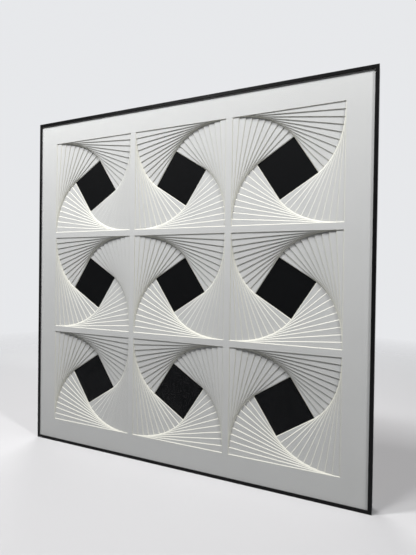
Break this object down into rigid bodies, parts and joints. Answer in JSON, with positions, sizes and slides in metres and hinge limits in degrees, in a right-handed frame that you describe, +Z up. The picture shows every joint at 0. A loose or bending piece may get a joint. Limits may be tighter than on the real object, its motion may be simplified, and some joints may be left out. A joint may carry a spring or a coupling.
{
  "type": "paper relief wall art",
  "caption": "Square framed paper relief: stacked white boards whose bevel-cut square openings shrink and turn like whirls down to black, behind clear glazing.",
  "frame": {"origin": "centre of the frame's back, on the wall", "axes": "+Z up, the picture faces -Y, +Y points into the wall, +X to the viewer's right"},
  "size_m": [0.904, 0.0377, 0.904],
  "materials": {
    "frame_black": "satin black anodised",
    "white_board": "matt, fine tooth, cream core",
    "black_card": "matt",
    "clear_glazing": "clear, polished",
    "hardboard": "pressed fibre",
    "spring_steel": "blued",
    "zinc_steel": "zinc plated",
    "bumper_rubber": "matt"
  },
  "bodies": {
    "root": {"backing_board": "hardboard", "black_card": "black_card", "board_01": "white_board", "board_02": "white_board", "board_03": "white_board", "board_04": "white_board", "board_05": "white_board", "board_06": "white_board", "board_07": "white_board", "board_08": "white_board", "board_09": "white_board", "board_10": "white_board", "board_11": "white_board", "corner_angle_bottom_left": "zinc_steel", "corner_angle_bottom_right": "zinc_steel", "corner_angle_top_left": "zinc_steel", "corner_angle_top_right": "zinc_steel", "corner_screws": "zinc_steel", "corner_shim_bottom_left": "zinc_steel", "corner_shim_bottom_right": "zinc_steel", "corner_shim_top_left": "zinc_steel", "corner_shim_top_right": "zinc_steel", "frame_rail_bottom": "frame_black", "frame_rail_left": "frame_black", "frame_rail_right": "frame_black", "frame_rail_top": "frame_black", "glazing": "clear_glazing", "hanger_left": "zinc_steel", "hanger_nuts": "zinc_steel", "hanger_right": "zinc_steel", "hanger_screws": "zinc_steel", "spring_clip_bottom_1": "spring_steel", "spring_clip_bottom_2": "spring_steel", "spring_clip_left_1": "spring_steel", "spring_clip_left_2": "spring_steel", "spring_clip_right_1": "spring_steel", "spring_clip_right_2": "spring_steel", "spring_clip_top_1": "spring_steel", "spring_clip_top_2": "spring_steel", "wall_bumper_left": "bumper_rubber", "wall_bumper_right": "bumper_rubber"}
  },
  "joints": []
}
